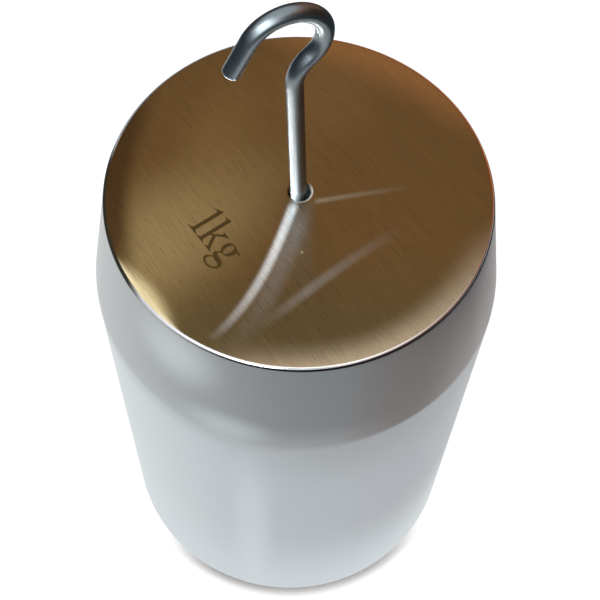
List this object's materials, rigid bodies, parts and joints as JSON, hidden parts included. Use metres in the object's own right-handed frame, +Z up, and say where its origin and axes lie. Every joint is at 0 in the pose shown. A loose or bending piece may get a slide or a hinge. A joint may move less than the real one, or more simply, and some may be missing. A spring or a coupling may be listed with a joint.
{
  "type": "hooked calibration weight",
  "caption": "Cylindrical steel calibration weight with a sloping shoulder and a loose wire hook on top that turns in its hole.",
  "frame": {"origin": "centre of the flat base", "axes": "+Z up along the body's axis; the hook lies in the XZ plane with its open mouth towards -X"},
  "size_m": [0.047, 0.047, 0.1049],
  "materials": {
    "body_steel": "satin turned, brushed top",
    "hook_wire": "bright drawn wire",
    "plug_steel": "turned"
  },
  "bodies": {
    "weight": {"weight_body": "body_steel", "core_plug": "plug_steel"},
    "hook": {"hook": "hook_wire"}
  },
  "joints": [
    {"name": "hook_swivel", "type": "hinge", "parent": "weight", "child": "hook", "pos_m": [0, 0, 0.0712], "axis": [-0.0433, 0, 0.9991], "continuous": true}
  ]
}
